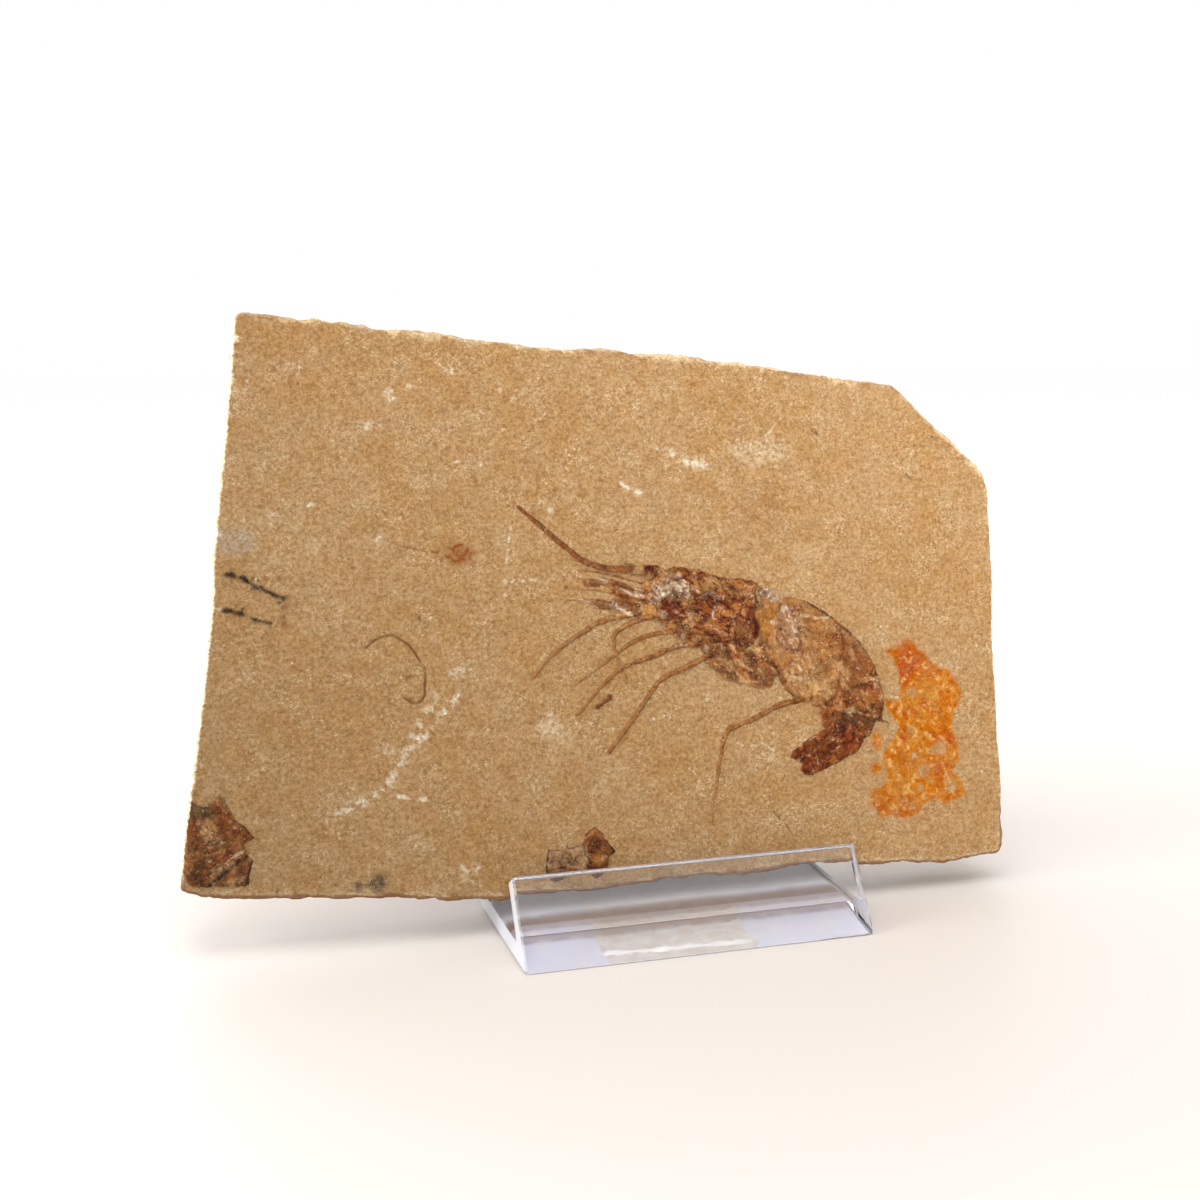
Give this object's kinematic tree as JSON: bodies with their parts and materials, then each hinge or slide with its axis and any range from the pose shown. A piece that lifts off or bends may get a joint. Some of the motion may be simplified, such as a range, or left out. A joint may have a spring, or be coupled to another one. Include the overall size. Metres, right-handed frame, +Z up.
{
  "type": "fossil shrimp on a stone slab with display stand",
  "caption": "Flattened fossil shrimp on a thin broken slab of tan limestone, leaning back in a bent clear acrylic display stand.",
  "frame": {"origin": "on the table, in the middle of the footprint of slab and stand together", "axes": "+Z up, +X to the right along the slab's lower edge, the slab's fossil face towards -Y"},
  "size_m": [0.129, 0.0624, 0.0868],
  "materials": {
    "limestone": "matte, fine grained",
    "fossil_film": "matte to silky",
    "clear_acrylic": "polished, clear"
  },
  "bodies": {
    "root": {"slab": "limestone", "shrimp": "fossil_film", "fragment_corner": "fossil_film", "fragment_lower": "fossil_film", "stand": "clear_acrylic"}
  },
  "joints": []
}
